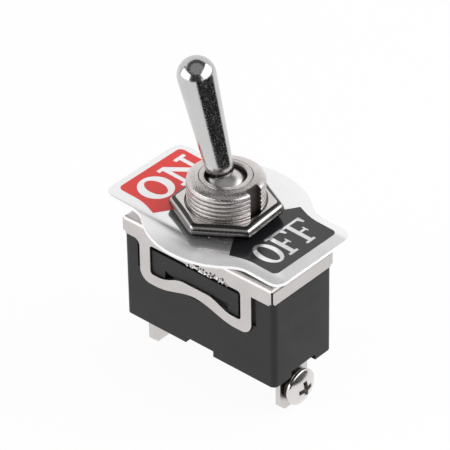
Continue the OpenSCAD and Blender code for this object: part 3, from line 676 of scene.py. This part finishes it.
COVER_FACE_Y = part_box("cover_frame")[0].y
for name, look, slot, seed, count, left, right, low, high in (
        ("window_burrs", "torn_nickel", "cover_nickel", 5, 6.5e6, -3.4, 6.4, -3.30, -2.75),
        ("window_nicks", "phenolic", "phenolic", 11, 4.5e6, -2.8, 6.0, -3.05, -2.30)):
    strip = [(left, low), (right, low), (right - 0.5, high), (left + 1, high)]
    blank = new_mesh("strip", [(x * MM, COVER_FACE_Y, DECK + z * MM) for x, z in strip],
                     [(0, 1, 2, 3)])
    flakes = run_tree(BURRS, blank, FINISH[look], Density=count, Length=0.36 * MM,
                      Height=0.11 * MM, Seed=seed)
    piece(name, flakes, FINISH[look], slot, "base", sharp_deg=20)

# %% [markdown]
# ## Thread cutting
# A thread is a groove that winds round a turned blank. Its profile could be swept along a
# helix, but such a strip has open ends and has to be joined to the blank. This tree moves
# the blank's own points instead, inward by a wave of their height less their angle's share
# of the pitch, so the mesh stays closed. It threads the bushing and the terminal screw.

# %% Thread tree
# A high power makes the groove narrow and the crests wide. Only points at nearly the full
# radius move.
GROOVE_POWER, SKIN_SHARE = 6.0, 0.985

THREAD, given, end = group(
    "GeometryNodeTree", "cut_thread",
    [("Geometry", GEOMETRY, None), ("Pitch", FLOAT, 0.75 * MM), ("Depth", FLOAT, 0.3 * MM),
     ("Low", FLOAT, 0.0), ("High", FLOAT, 10 * MM), ("Outer", FLOAT, 5.9 * MM),
     ("Material", MATERIAL, None)],
    [("Geometry", GEOMETRY)])
spot = add(THREAD, "GeometryNodeInputPosition").outputs[0]
x, y, z = add(THREAD, "ShaderNodeSeparateXYZ", {0: spot}).outputs
angle = calc(THREAD, "DIVIDE", calc(THREAD, "ARCTAN2", y, x), 2 * math.pi)
phase = calc(THREAD, "SUBTRACT", calc(THREAD, "DIVIDE", z, given["Pitch"]), angle)
wave = calc(THREAD, "SINE", calc(THREAD, "MULTIPLY", phase, 2 * math.pi))
groove = calc(THREAD, "POWER", calc(THREAD, "MULTIPLY_ADD", wave, 0.5, 0.5), GROOVE_POWER)
radius = calc(THREAD, "SQRT", calc(THREAD, "ADD", calc(THREAD, "MULTIPLY", x, x),
                                   calc(THREAD, "MULTIPLY", y, y)))
skin = calc(THREAD, "GREATER_THAN", radius, calc(THREAD, "MULTIPLY", given["Outer"], SKIN_SHARE))
above = calc(THREAD, "GREATER_THAN", z, given["Low"])
last_turn = calc(THREAD, "SUBTRACT", given["High"], given["Pitch"])
fade = remap(THREAD, z, last_turn, given["High"], 1, 0, interpolation_type="SMOOTHSTEP")
depth = calc(THREAD, "MULTIPLY", calc(THREAD, "MULTIPLY", groove, given["Depth"]),
             calc(THREAD, "MULTIPLY", calc(THREAD, "MULTIPLY", skin, above), fade))
shrink = calc(THREAD, "DIVIDE", calc(THREAD, "MULTIPLY", depth, -1), radius)
move = add(THREAD, "ShaderNodeCombineXYZ", {"X": calc(THREAD, "MULTIPLY", x, shrink),
                                            "Y": calc(THREAD, "MULTIPLY", y, shrink)})
moved = add(THREAD, "GeometryNodeSetPosition", {"Geometry": given["Geometry"],
                                                "Offset": move.outputs[0]})
end_tree(THREAD, moved.outputs[0], given, end)

# %% [markdown]
# ## Turning
# The bushing, the lever and the screw are turned parts. Each could start as a cylinder that
# is scaled and inset, but a lathe works from a profile, and so does this function: it turns
# points of radius and height round the Z axis.

# %% Lathe
def lathe(name, profile, segments):
    """Turns a profile of (radius, height) points round Z. A radius of 0 closes at a pole."""
    points, rings = [], []
    for r, z in profile:
        if r < 1e-9:
            rings.append([len(points)])
            points.append((0, 0, z))
        else:
            rings.append(list(range(len(points), len(points) + segments)))
            points += [(r * math.cos(a), r * math.sin(a), z)
                       for a in (2 * math.pi * i / segments for i in range(segments))]
    pairs = list(zip(rings, rings[1:]))
    if len(rings[0]) > 1 and len(rings[-1]) > 1:
        pairs.append((rings[-1], rings[0]))
    faces = []
    for low, high in pairs:
        for i in range(segments):
            k = (i + 1) % segments
            ring = [low[i % len(low)], low[k % len(low)], high[k % len(high)], high[i % len(high)]]
            face = list(dict.fromkeys(ring))
            if len(face) > 2:
                faces.append(face)
    mesh = new_mesh(name, points, faces)
    shade(mesh)
    print(f"{name} blank: {len(mesh.polygons)} faces")
    return mesh


# %% [markdown]
# ## Bushing
# The real one is turned from bar: a flange that is rolled over under the cover, a threaded
# barrel, a rounded shoulder, a flat ring and a mouth with a ball seat below it. It could
# keep its solid with a bumped thread, but the thread makes its silhouette. So the blank is a
# lathe profile with rows fine enough for the thread, and the keyway is milled after
# threading, so that the thread's teeth show along both its edges.

# %% Bushing
MOUTH_R, SEAT_R, SHOULDER_HIGH = 3.15, 4.05, 9.45
KEY_HALF, KEY_DEEP = 1.2, 0.9
# The top, from its outer line to the mouth's rounded lip: radius, and how far under the top
TOP_ROWS = ((4.14, 0.02), (4.08, 0.12), (4.02, 0.12), (3.97, 0.0), (3.6, 0.0), (3.32, 0.0),
            (3.22, 0.04), (MOUTH_R, 0.14))


def barrel_profile():
    flange_r, flange_t, spigot_r, foot_r = 5.6 * MM, 0.75 * MM, 5.2 * MM, 4.6 * MM
    shoulder_w, shoulder_h, thread_rows = 1.45 * MM, 0.84 * MM, 132
    shoulder = DECK + SHOULDER_HIGH * MM
    rows = [(flange_r, BUSH_LOW), (flange_r, BUSH_LOW + flange_t), (spigot_r, BUSH_LOW + flange_t),
            (spigot_r, DECK), (THREAD_R, DECK)]
    rows += [(THREAD_R, DECK + (shoulder - DECK) * i / thread_rows)
             for i in range(1, thread_rows + 1)]
    rows += [(THREAD_R - shoulder_w + shoulder_w * math.cos(a), shoulder + shoulder_h * math.sin(a))
             for a in (math.radians(d) for d in range(6, 85, 6))]
    rows += [(r * MM, BUSH_TOP - drop * MM) for r, drop in TOP_ROWS]
    rows += [(MOUTH_R * MM, PIVOT.z + 2.5 * MM)]
    seat = SEAT_R * MM
    start = math.acos(MOUTH_R / SEAT_R)
    rows += [(seat * math.cos(a), PIVOT.z + seat * math.sin(a))
             for a in (start * k / 6 for k in range(6, -1, -1))]
    rows += [(seat, BUSH_LOW + 1.0 * MM), (foot_r, BUSH_LOW)]
    return rows


def box_mesh(name, low, high):
    """A closed box between two corners."""
    corners = [(x, y, z) for z in (low[2], high[2]) for y in (low[1], high[1])
               for x in (low[0], high[0])]
    return new_mesh(name, corners, [(0, 2, 3, 1), (4, 5, 7, 6), (0, 1, 5, 4), (2, 6, 7, 3),
                                    (0, 4, 6, 2), (1, 3, 7, 5)])


blank = lathe("bushing", barrel_profile(), 288)
thread = run_tree(THREAD, blank, FINISH["bushing_nickel"], Pitch=0.75 * MM, Depth=0.20 * MM,
                  Low=DECK, High=DECK + 10.0 * MM, Outer=THREAD_R)
shade(thread)
keyway = box_mesh("keyway", (THREAD_R - KEY_DEEP * MM, -KEY_HALF * MM, DECK),
                  (8 * MM, KEY_HALF * MM, 20 * MM))
bushing = piece("bushing_threaded", cut(thread, keyway), FINISH["bushing_nickel"],
                "bushing_nickel", "base", "bushing", sharp_deg=50)

# %% The bushing's painted shade
def bushing_painted_shade(middle, normal):
    """Painted shade in the mouth, the keyway, the line round the top and the thread's roots."""
    r, high = math.hypot(middle.x, middle.y), middle.z - DECK / MM
    in_key = middle.x > 4.9 and abs(middle.y) < KEY_HALF + 0.01 and r < 5.5 and high < 10.3
    if r < MOUTH_R + 0.01 or in_key:
        return 0.86
    if 4.0 < r < 4.1 and high > 10.2:
        return 0.8
    if high < 9.7 and r > 5.5:
        return 0.2 + 0.6 * min(1.0, max(0.0, (THREAD_R / MM - 0.06 - r) / 0.12))
    return 0.0


by_face(bushing, "painted_light", bushing_painted_shade)

# %% [markdown]
# ## Hexagon nuts
# A nut is a hexagon whose upper corners are turned down by a cone, with a soft edge along
# each flat and a countersink round the thread. It could be a boolean of a prism and a cone,
# but that leaves long thin faces at the edges. Here each ring of points follows the hexagon
# in polar steps, a set distance in from its edge, so the bevel runs round it as a band.

# %% Nuts
# Each row is how far in from the edge it lies, and how far under the top face, in mm
EDGE_ROWS = ((1.5, 0.0), (1.02, 0.0), (0.62, 0.10), (0.42, 0.26), (0.20, 0.50), (0.12, 0.62),
             (0.06, 0.74), (0.02, 0.88), (0.0, 1.05))
# The same for the undercut, but over the bottom face
UNDERCUT_ROWS = ((0.0, 0.50), (0.08, 0.46), (0.22, 0.0))
NUT_STEPS = 6 * 20


def nut_mesh(name, low, high, turn_deg):
    flats, bore, sink = 15.1 * MM, 5.84 * MM, 0.4 * MM
    corner = flats / math.sqrt(3) - 0.12 * MM

    def side(angle):
        part = (math.degrees(angle) + 30) % 60 - 30
        return min(flats / 2 / math.cos(math.radians(part)), corner)

    angles = [2 * math.pi * i / NUT_STEPS for i in range(NUT_STEPS)]
    rings = [[(r, z)] * NUT_STEPS for r, z in ((bore, low), (bore, high - sink), (bore + sink, high))]
    rings += [[(side(a) - inset * MM, z) for a in angles] for inset, z in
              [(inset, high - drop * MM) for inset, drop in EDGE_ROWS]
              + [(inset, low + rise * MM) for inset, rise in UNDERCUT_ROWS]]
    turned = [a + math.radians(turn_deg + 30) for a in angles]
    points = [(r * math.cos(t), r * math.sin(t), z)
              for ring in rings for (r, z), t in zip(ring, turned)]
    starts = [NUT_STEPS * n for n in range(len(rings))]
    faces = [(here + i, here + (i + 1) % NUT_STEPS, there + (i + 1) % NUT_STEPS, there + i)
             for here, there in zip(starts, starts[1:] + starts[:1]) for i in range(NUT_STEPS)]
    return new_mesh(name, points, faces)


def nut_painted_reflection_shadow(lowest):
    """Painted reflection and shadow, a guess: bevels and sides dark as a mirrored dark room, undercut black as a
    shadow, flat top bright.
    """
    def painted_light(middle, normal):
        in_undercut = middle.z < lowest / MM + 0.49 and math.hypot(middle.x, middle.y) > 6.5
        if normal.z < -0.3 or in_undercut:
            return 1.0
        # How upright a face's normal is, from the flat top to the steep end of the bevel
        for upright, amount in ((0.985, 0.0), (0.72, 0.92), (0.60, 0.2)):
            if normal.z > upright:
                return amount
        return 0.72
    return painted_light


for name, turn_deg in (("front_nut", 34), ("backing_nut", 20)):
    low, high = (corner.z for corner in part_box(name))
    nut = piece(name + "_dressed", nut_mesh(name, low, high, turn_deg), FINISH["nut_nickel"],
                "nut_nickel", name + "_body", name, sharp_deg=28)
    by_face(nut, "painted_light", nut_painted_reflection_shadow(low))

# %% [markdown]
# ## Bat lever
# The lever is one turned and chromed piece: a hollow tail for the plunger, a ball, a groove
# above it and a bat that swells towards its round tip. A subdivided cage could give that
# shape, but its curves would only be near the true ones. It is turned upright on its pivot,
# drilled across for the pin, and its mesh is then leaned over.

# %% Lever
BALL_R = 4.0


def lever_profile():
    """Rows of radius and height over the pivot, in mm, from the tail's bore to the bat's tip."""
    bore, bore_top, foot, tail, tail_top = 1.25, -7.2, -15.0, 1.9, -3.6
    groove, groove_z, neck, neck_z, tip, tip_z = 1.8, 3.70, 2.06, 3.82, 2.95, 19.5
    rows = [(0, bore_top), (bore, bore_top), (bore, foot), (tail, foot), (tail, tail_top)]
    start = math.asin(-math.sqrt(BALL_R ** 2 - tail ** 2) / BALL_R)
    stop = math.asin(math.sqrt(BALL_R ** 2 - groove ** 2) / BALL_R)
    rows += [(BALL_R * math.cos(a), BALL_R * math.sin(a))
             for a in (start + (stop - start) * k / 20 for k in range(1, 21))]
    rows += [(groove, groove_z), (1.96, groove_z), (2.03, 3.74), (neck, neck_z)]
    rows += [(neck + (tip - neck) * k / 10, neck_z + (tip_z - neck_z) * k / 10)
             for k in range(1, 11)]
    rows += [(tip * math.cos(a), tip_z + tip * math.sin(a))
             for a in (math.radians(d) for d in range(5, 86, 5))]
    return rows + [(0, tip_z + tip)]


blank = lathe("lever", [(r * MM, z * MM) for r, z in lever_profile()], 128)
pin_r, pin_reach = 0.65 * MM, 5 * MM
pin_hole = lathe("pin_hole", [(0, -pin_reach), (pin_r, -pin_reach), (pin_r, pin_reach),
                              (0, pin_reach)], 48)
pin_hole.transform(Matrix.Rotation(math.pi / 2, 4, "X"))
lever_mesh = cut(blank, pin_hole)
lever_mesh.transform(Matrix.Translation(PIVOT) @ Matrix.Rotation(-LEAN, 4, "Y"))
lever = piece("lever_bat", lever_mesh, FINISH["lever_chrome"], "lever_chrome", "lever_body", "lever")


def lever_painted_sheen(middle, normal):
    """Painted sheen, a guess: the ball is coloured paler and made more satin than the bat."""
    return 0.8 if (middle - PIVOT / MM).length < BALL_R + 0.01 else 0.0


by_face(lever, "painted_light", lever_painted_sheen)

# %% [markdown]
# ## ON and OFF plate
# A thin aluminium stamping with a keyed hole and printed ends. It could be modelled from a
# plane, edge by edge, but an outline of lines and arcs is easier to read and to change. It
# is a curve, which is filled, thickened and given a small rounded edge.

# %% Plate
PLATE_PLACE = Matrix.Translation(PLATE_MIDDLE) @ Matrix.Rotation(PLATE_TILT, 4, "Y")
PLATE_T, RIM_R = 0.55, 0.05
OUTLINE_SHIFT = (0.125, 0.067)


def arc(cx, cy, r, from_deg, to_deg, steps):
    return [(cx + r * math.cos(math.radians(from_deg + (to_deg - from_deg) * i / steps)),
             cy + r * math.sin(math.radians(from_deg + (to_deg - from_deg) * i / steps)))
            for i in range(steps + 1)]


def quarter_outline(half_l, half_w, middle_r, corner_r, fillet_r):
    """The outline from +X round to +Y: a corner, a hollow fillet and the round middle."""
    fy = half_w + fillet_r
    fx = math.sqrt((middle_r + fillet_r) ** 2 - fy ** 2)
    touch = math.degrees(math.atan2(fy, fx))
    return (arc(half_l - corner_r, half_w - corner_r, corner_r, 0, 90, 8)
            + arc(fx, fy, fillet_r, -90, touch - 180, 10)
            + arc(0, 0, middle_r, touch, 90, 16))


def whole_outline(**sizes):
    """The quarter, mirrored to the left and then downwards."""
    quarter = quarter_outline(**sizes)
    top = quarter + [(-x, y) for x, y in reversed(quarter)][1:]
    return top + [(x, -y) for x, y in reversed(top)]


def keyhole(r, key_x, key_half):
    """The round hole with the flat key that sits in the bushing's keyway."""
    edge = math.degrees(math.asin(key_half / r))
    return arc(0, 0, r, edge, 360 - edge, 72) + [(key_x, -key_half), (key_x, key_half)]


def flat_curve(name, loops, half_t, bevel=0.0):
    """A filled sheet from closed loops, in millimetres. Loops inside a loop are holes."""
    data = bpy.data.curves.new(name, "CURVE")
    data.dimensions, data.fill_mode = "2D", "BOTH"
    data.extrude, data.bevel_depth, data.bevel_resolution = half_t * MM, bevel * MM, 2
    data.offset = -bevel * MM
    for loop in loops:
        clean = [p for i, p in enumerate(loop) if math.dist(p, loop[i - 1]) > 1e-4]
        spline = data.splines.new("POLY")
        spline.points.add(len(clean) - 1)
        for point, (x, y) in zip(spline.points, clean):
            point.co = (x * MM, y * MM, 0, 1)
        spline.use_cyclic_u = True
    return baked(holder(name, data))


outline = [(x + OUTLINE_SHIFT[0], y + OUTLINE_SHIFT[1]) for x, y in whole_outline(
    half_l=17.25, half_w=8.55, middle_r=12.875, corner_r=1.9, fillet_r=4.5)]
sheet = flat_curve("plate", [outline, keyhole(6.05, 5.20, 1.05)], PLATE_T / 2 - RIM_R, RIM_R)
sheet.transform(PLATE_PLACE)

# %% [markdown]
# ## The plate's polished middle
# The sheet seems smoother round the nut than at its printed ends. That is a guess from how
# sharply the nut is mirrored in it. Two materials could show it, but they would meet in a
# line, so one material fades from a shinier middle to plain ends, by the distance from the
# axis.

# %% Polished middle
def polish_middle(material, near, far, metallic, rough):
    tree = material.node_tree
    shader = tree.nodes["Principled BSDF"]
    reach = from_axis(tree)
    plain = {"Metallic": shader.inputs["Metallic"].default_value,
             "Roughness": shader.inputs["Roughness"].links[0].from_socket}
    for socket, polished in (("Metallic", metallic), ("Roughness", rough)):
        feed(tree, shader, {socket: remap(tree, reach, near, far, polished, plain[socket],
                                          interpolation_type="SMOOTHSTEP")})


polish_middle(FINISH["plate_aluminium"], 9.0 * MM, 11.6 * MM, metallic=0.84, rough=0.11)
piece("plate_sheet", sheet, FINISH["plate_aluminium"], "plate_aluminium", "base", "on_off_plate")

# %% [markdown]
# ## Printed ends
# Each end is screen printed: a field of ink with the letters left out of it, so they show as
# bare metal. An image could be laid on the sheet, but its edges blur when the camera comes
# close, and a font's letters have other proportions. So the ink is a second, very thin
# sheet, and the letters are holes in it, drawn from stems, slab serifs and ellipses.

# %% Letters
def ring_letter(cx, cy, width, height, side, thin):
    """An O: two ellipses whose gap is wide at the sides and thin above and below."""
    def oval(a, b):
        return [(cx + a * math.cos(t), cy + b * math.sin(t))
                for t in (2 * math.pi * i / 56 for i in range(56))]
    return [oval(width / 2, height / 2), oval(width / 2 - side, height / 2 - thin)]


def letter_f(x, y, width, height, stem, thin):
    """An F with slab serifs. Its lower left corner is at (x, y)."""
    serif, foot, spur_w, spur_h = 0.62, 0.45, 0.28, 0.6
    beak_in, beak_out, beak_h = 0.75, 0.36, 1.35
    s, top, mid, arm = x + serif, y + height, y + height * 0.50, x + width * 0.68
    return [[(x, y), (s + stem + foot, y), (s + stem + foot, y + thin), (s + stem, y + thin),
             (s + stem, mid - thin / 2), (arm - spur_w, mid - thin / 2),
             (arm - spur_w, mid - spur_h), (arm, mid - spur_h), (arm, mid + spur_h),
             (arm - spur_w, mid + spur_h), (arm - spur_w, mid + thin / 2),
             (s + stem, mid + thin / 2), (s + stem, top - thin),
             (x + width - beak_in, top - thin), (x + width - beak_out, top - beak_h),
             (x + width, top - beak_h), (x + width, top), (x, top), (x, top - thin),
             (s, top - thin), (s, y + thin), (x, y + thin)]]


def letter_n(x, y, width, height, stem, thin, bold):
    """A bold N with slab serifs. Its lower left corner is at (x, y)."""
    serif, foot, joint, point = 0.75, 0.7, 1.75, 0.55
    top = y + height
    left, right = x + serif, x + width - serif
    return [[(x, y), (left + stem + foot, y), (left + stem + foot, y + thin),
             (left + stem, y + thin), (left + stem, top - joint), (right - point, y), (right, y),
             (right, top - thin), (x + width, top - thin), (x + width, top),
             (right - stem - serif, top), (right - stem - serif, top - thin),
             (right - stem, top - thin), (right - stem, y + bold), (left + bold * 0.35, top),
             (x, top), (x, top - thin), (left, top - thin), (left, y + thin), (x, y + thin)]]


# Each letter's place and size, in the words' own reading direction: right, then up
ON_LOOPS = (ring_letter(-2.45, 11.9, width=5.60, height=5.80, side=1.46, thin=0.80)
            + letter_n(0.60, 9.04, width=6.06, height=5.6, stem=0.80, thin=0.70, bold=2.1))
OFF_LOOPS = (ring_letter(-3.33, -11.05, width=3.67, height=5.22, side=0.90, thin=0.50)
             + letter_f(-1.50, -13.74, width=3.80, height=5.24, stem=0.82, thin=0.46)
             + letter_f(2.34, -13.78, width=3.90, height=5.2, stem=0.80, thin=0.46))
print("loops in ON and OFF:", len(ON_LOOPS), len(OFF_LOOPS))

# %% Ink
INK_HALF_T, INK_LIFT = 0.012, 0.9
FIELD_TURN, FIELD_SHIFT = math.radians(-0.4), (-0.4, 0.49)


def lettered(points):
    """From reading coordinates (right, up) to the plate's X and Y."""
    return [(-v, u) for u, v in points]


def field(end):
    """The outline of an inked end: straight sides, a flare at the waist, a point inwards."""
    half_l, side, r = 15.6, 6.92, 0.9
    waist = [(11.4, side), (10.4, side + 0.13), (9.5, side + 0.34), (8.5, side + 0.70),
             (7.55, side + 1.06), (2.8, 0.35)]
    upper = arc(half_l - r, side - r, r, 0, 90, 8) + waist
    loop = upper + [(x, -y) for x, y in reversed(upper)]
    moved = [(end * x + FIELD_SHIFT[0], y + FIELD_SHIFT[1]) for x, y in loop]
    return [(x * math.cos(FIELD_TURN) - y * math.sin(FIELD_TURN),
             x * math.sin(FIELD_TURN) + y * math.cos(FIELD_TURN)) for x, y in moved]


for name, end, loops, ink in (("ink_on", -1, ON_LOOPS, RED_INK), ("ink_off", 1, OFF_LOOPS, DARK_INK)):
    print_mesh = flat_curve(name, [field(end)] + [lettered(loop) for loop in loops], INK_HALF_T)
    lift = (PLATE_T / 2 + INK_HALF_T * INK_LIFT) * MM
    print_mesh.transform(PLATE_PLACE @ Matrix.Translation((0, 0, lift)))
    piece(name, print_mesh, ink, "plate_aluminium", "base")

# %% [markdown]
# ## Terminal screw
# A pan-head M3 screw, backed off a little, with a collar under its head that may be a
# captive washer and is painted dark brown as shade. It could keep its solid, but its domed
# head and its thread are in plain sight. The head and the collar are one lathe profile with
# a soft rim, tapering arms cut the cross recess, and the thread tree cuts the shank.

# %% Screw
BACKED_OFF = 1.0
HEAD_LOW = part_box("terminal_off")[1].x + BACKED_OFF * MM
SCREW_Z = (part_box("terminal_screw")[0].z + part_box("terminal_screw")[1].z) / 2
HEAD_R, HEAD_SIDE, HEAD_DOME, SHANK_R, COLLAR_T = 3.0, 0.50, 1.0, 1.42, 0.72


def screw_profile():
    """Rows of radius and height over the head's underside, in mm."""
    length, point_r, point_h, collar_r, rim = 4.2, 1.15, 0.3, 2.68, 0.10
    shank_low, shank_rows, dome_rows = -length + point_h, 56, 18
    rows = [(0, -length), (point_r, -length), (SHANK_R, shank_low)]
    rows += [(SHANK_R, shank_low + (length - point_h - COLLAR_T) * i / shank_rows)
             for i in range(1, shank_rows + 1)]
    rows += [(collar_r - rim, -COLLAR_T), (collar_r, rim - COLLAR_T), (collar_r, -0.02),
             (HEAD_R - 0.08, 0), (HEAD_R, rim), (HEAD_R, HEAD_SIDE - rim)]
    dome_r = (HEAD_R * HEAD_R + HEAD_DOME * HEAD_DOME) / (2 * HEAD_DOME)
    edge = math.asin((HEAD_R - 0.08) / dome_r)
    rows += [(dome_r * math.sin(a), HEAD_SIDE + HEAD_DOME - dome_r + dome_r * math.cos(a))
             for a in (edge * (1 - k / dome_rows) for k in range(dome_rows))]
    rows += [(0, HEAD_SIDE + HEAD_DOME)]
    return [(a * MM, b * MM) for a, b in rows]


def recess(turn_deg):
    """A tapering cross: each arm is a wedge that gets shorter and narrower with depth."""
    # Each end of a wedge is its height, its reach and half its width, in mm
    wedge_ends = ((1.75, 1.75, 0.46), (0.35, 0.75, 0.26))
    tools = []
    for angle in (turn_deg, turn_deg + 90):
        points = [(x * reach * MM, y * half * MM, z * MM) for z, reach, half in wedge_ends
                  for x, y in SQUARE]
        mesh = new_mesh("arm", points, [(0, 1, 2, 3), (7, 6, 5, 4), (0, 4, 5, 1), (1, 5, 6, 2),
                                        (2, 6, 7, 3), (3, 7, 4, 0)])
        mesh.transform(Matrix.Rotation(math.radians(angle), 4, "Z"))
        shade(mesh)
        tools.append(mesh)
    return tools


blank = lathe("screw", screw_profile(), 96)
shank = run_tree(THREAD, blank, FINISH["screw_nickel"], Pitch=0.5 * MM, Depth=0.26 * MM,
                 Low=-3.9 * MM, High=-0.74 * MM, Outer=SHANK_R * MM)
screw = cut(shank, *recess(4))
screw.transform(Matrix.Translation((HEAD_LOW, 0, SCREW_Z)) @ Matrix.Rotation(math.pi / 2, 4, "Y"))
screw_piece = piece("terminal_screw_turned", screw, FINISH["screw_nickel"], "screw_nickel",
                    "screw_body", "terminal_screw", sharp_deg=40)

# %% The screw's painted shade
def screw_painted_shade(middle, normal):
    """Painted shade: dark brown on the collar under the head, and less of it on the shank and in the recess."""
    out = middle.x - HEAD_LOW / MM
    r = math.hypot(middle.y, middle.z - SCREW_Z / MM)
    dome = HEAD_SIDE + HEAD_DOME * (1 - (r / HEAD_R) ** 2)
    if -0.8 < out < -0.001 and r > 1.5:
        return 1.0
    return 0.25 if out < 0 else 0.45 if r < 2.0 and out < dome - 0.12 else 0.0


by_face(screw_piece, "painted_light", screw_painted_shade)
